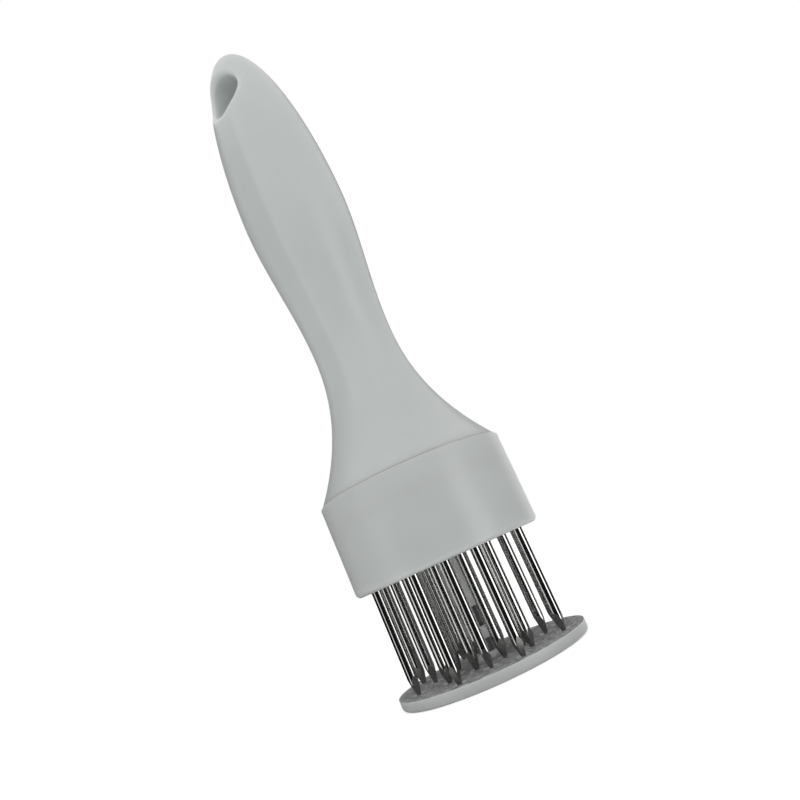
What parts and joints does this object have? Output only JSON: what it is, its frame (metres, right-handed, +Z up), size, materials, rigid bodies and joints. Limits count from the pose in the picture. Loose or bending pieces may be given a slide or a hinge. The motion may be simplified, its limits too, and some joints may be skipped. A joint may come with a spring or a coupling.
{
  "type": "needle meat tenderizer",
  "caption": "Hand-held needle tenderizer: long moulded handle with hang hole, round collar with ground steel needles, and a spring-loaded foot disc that slides up along them.",
  "frame": {"origin": "middle of the foot disc's flat underside, with the tool standing upright on its foot", "axes": "+Z up along the handle; the hang hole runs along Y; X is across the handle"},
  "size_m": [0.0544, 0.0544, 0.206],
  "materials": {
    "body_plastic": "light cool grey-white moulded plastic, satin gloss, faint flow marks",
    "inner_plastic": "light grey moulded plastic, matt",
    "foot_plastic": "light grey moulded plastic, satin",
    "needle_steel": "polished stainless rod with duller ground facets at the point",
    "screw_steel": "bright zinc-plated steel",
    "spring_steel": "drawn spring wire"
  },
  "bodies": {
    "head": {"handle": "body_plastic", "collar": "body_plastic", "needle_plate": "inner_plastic", "clamp_plate": "inner_plastic", "needle_01": "needle_steel", "needle_02": "needle_steel", "needle_03": "needle_steel", "needle_04": "needle_steel", "needle_05": "needle_steel", "needle_06": "needle_steel", "needle_07": "needle_steel", "needle_08": "needle_steel", "needle_09": "needle_steel", "needle_10": "needle_steel", "needle_11": "needle_steel", "needle_12": "needle_steel", "needle_13": "needle_steel", "needle_14": "needle_steel", "needle_15": "needle_steel", "needle_16": "needle_steel", "needle_17": "needle_steel", "needle_18": "needle_steel", "needle_19": "needle_steel", "needle_20": "needle_steel", "needle_21": "needle_steel", "needle_22": "needle_steel", "needle_23": "needle_steel", "needle_24": "needle_steel", "plate_screw_1": "screw_steel", "plate_screw_2": "screw_steel", "plate_screw_3": "screw_steel", "plate_screw_4": "screw_steel", "return_spring": "spring_steel"},
    "foot": {"foot_disc": "foot_plastic", "guide_post": "foot_plastic", "spring_washer": "screw_steel", "retainer_screw": "screw_steel"}
  },
  "joints": [
    {"name": "foot_slide", "type": "slide", "parent": "head", "child": "foot", "axis": [0, 0, 1], "range_m": [0, 0.0278], "stiffness_N_per_m": 350, "springref_m": -0.012, "deforming": ["return_spring"]}
  ]
}
